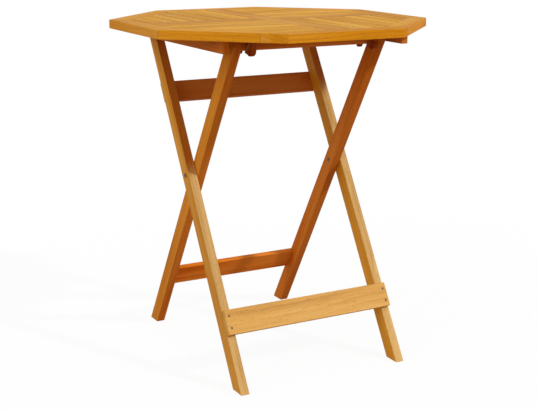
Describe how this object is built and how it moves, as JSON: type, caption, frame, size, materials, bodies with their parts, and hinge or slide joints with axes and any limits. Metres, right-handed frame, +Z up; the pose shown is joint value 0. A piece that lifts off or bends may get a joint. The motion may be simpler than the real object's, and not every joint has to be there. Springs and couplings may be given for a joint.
{
  "type": "folding garden table",
  "caption": "Small octagonal garden table of oiled hardwood slats on a crossed-leg frame that folds flat for storage.",
  "frame": {"origin": "on the ground, under the middle of the top", "axes": "+Z up, -Y to the front, where the board across the outer legs is near the ground, and +X along the hinge axes"},
  "size_m": [0.65, 0.65, 0.75],
  "materials": {
    "rim_wood": "oiled satin",
    "slat_wood": "oiled satin",
    "centre_wood": "oiled satin",
    "leg_wood": "oiled satin",
    "bar_wood": "oiled satin",
    "underside_wood": "oiled satin",
    "steel": "satin"
  },
  "bodies": {
    "outer_frame": {"front_bar": "bar_wood", "front_bar_screw_left_lower": "steel", "front_bar_screw_left_upper": "steel", "front_bar_screw_right_lower": "steel", "front_bar_screw_right_upper": "steel", "left_hinge_bolt": "steel", "left_outer_leg": "leg_wood", "left_pivot_bolt": "steel", "right_hinge_bolt": "steel", "right_outer_leg": "leg_wood", "right_pivot_bolt": "steel", "upper_rear_bar": "underside_wood"},
    "inner_frame": {"catch_dowel": "underside_wood", "left_inner_leg": "leg_wood", "lower_rear_bar": "bar_wood", "right_inner_leg": "leg_wood"},
    "top": {"centre_board": "centre_wood", "front_left_rim_board": "rim_wood", "front_left_slat_1": "slat_wood", "front_left_slat_2": "slat_wood", "front_left_slat_3": "slat_wood", "front_left_slat_4": "slat_wood", "front_left_slat_5": "slat_wood", "front_left_slat_6": "slat_wood", "front_left_slat_7": "slat_wood", "front_right_rim_board": "rim_wood", "front_right_slat_1": "slat_wood", "front_right_slat_2": "slat_wood", "front_right_slat_3": "slat_wood", "front_right_slat_4": "slat_wood", "front_right_slat_5": "slat_wood", "front_right_slat_6": "slat_wood", "front_right_slat_7": "slat_wood", "front_rim_board": "rim_wood", "left_batten": "underside_wood", "left_catch_block": "underside_wood", "left_cross_board": "centre_wood", "left_rim_board": "rim_wood", "rear_left_rim_board": "rim_wood", "rear_left_slat_1": "slat_wood", "rear_left_slat_2": "slat_wood", "rear_left_slat_3": "slat_wood", "rear_left_slat_4": "slat_wood", "rear_left_slat_5": "slat_wood", "rear_left_slat_6": "slat_wood", "rear_left_slat_7": "slat_wood", "rear_right_rim_board": "rim_wood", "rear_right_slat_1": "slat_wood", "rear_right_slat_2": "slat_wood", "rear_right_slat_3": "slat_wood", "rear_right_slat_4": "slat_wood", "rear_right_slat_5": "slat_wood", "rear_right_slat_6": "slat_wood", "rear_right_slat_7": "slat_wood", "rear_rim_board": "rim_wood", "right_batten": "underside_wood", "right_catch_block": "underside_wood", "right_cross_board": "centre_wood", "right_rim_board": "rim_wood"}
  },
  "joints": [
    {"name": "top_tilt", "type": "hinge", "parent": "outer_frame", "child": "top", "pos_m": [0, 0.189, 0.713], "axis": [-1, 0, 0], "range_deg": [0, 114]},
    {"name": "leg_fold", "type": "hinge", "parent": "outer_frame", "child": "inner_frame", "pos_m": [0, 0.011, 0.4144], "axis": [-1, 0, 0], "range_deg": [0, 61.6]}
  ],
  "couplings": [
    {"joint": "leg_fold", "follows": "top_tilt", "ratio": 0.54}
  ]
}
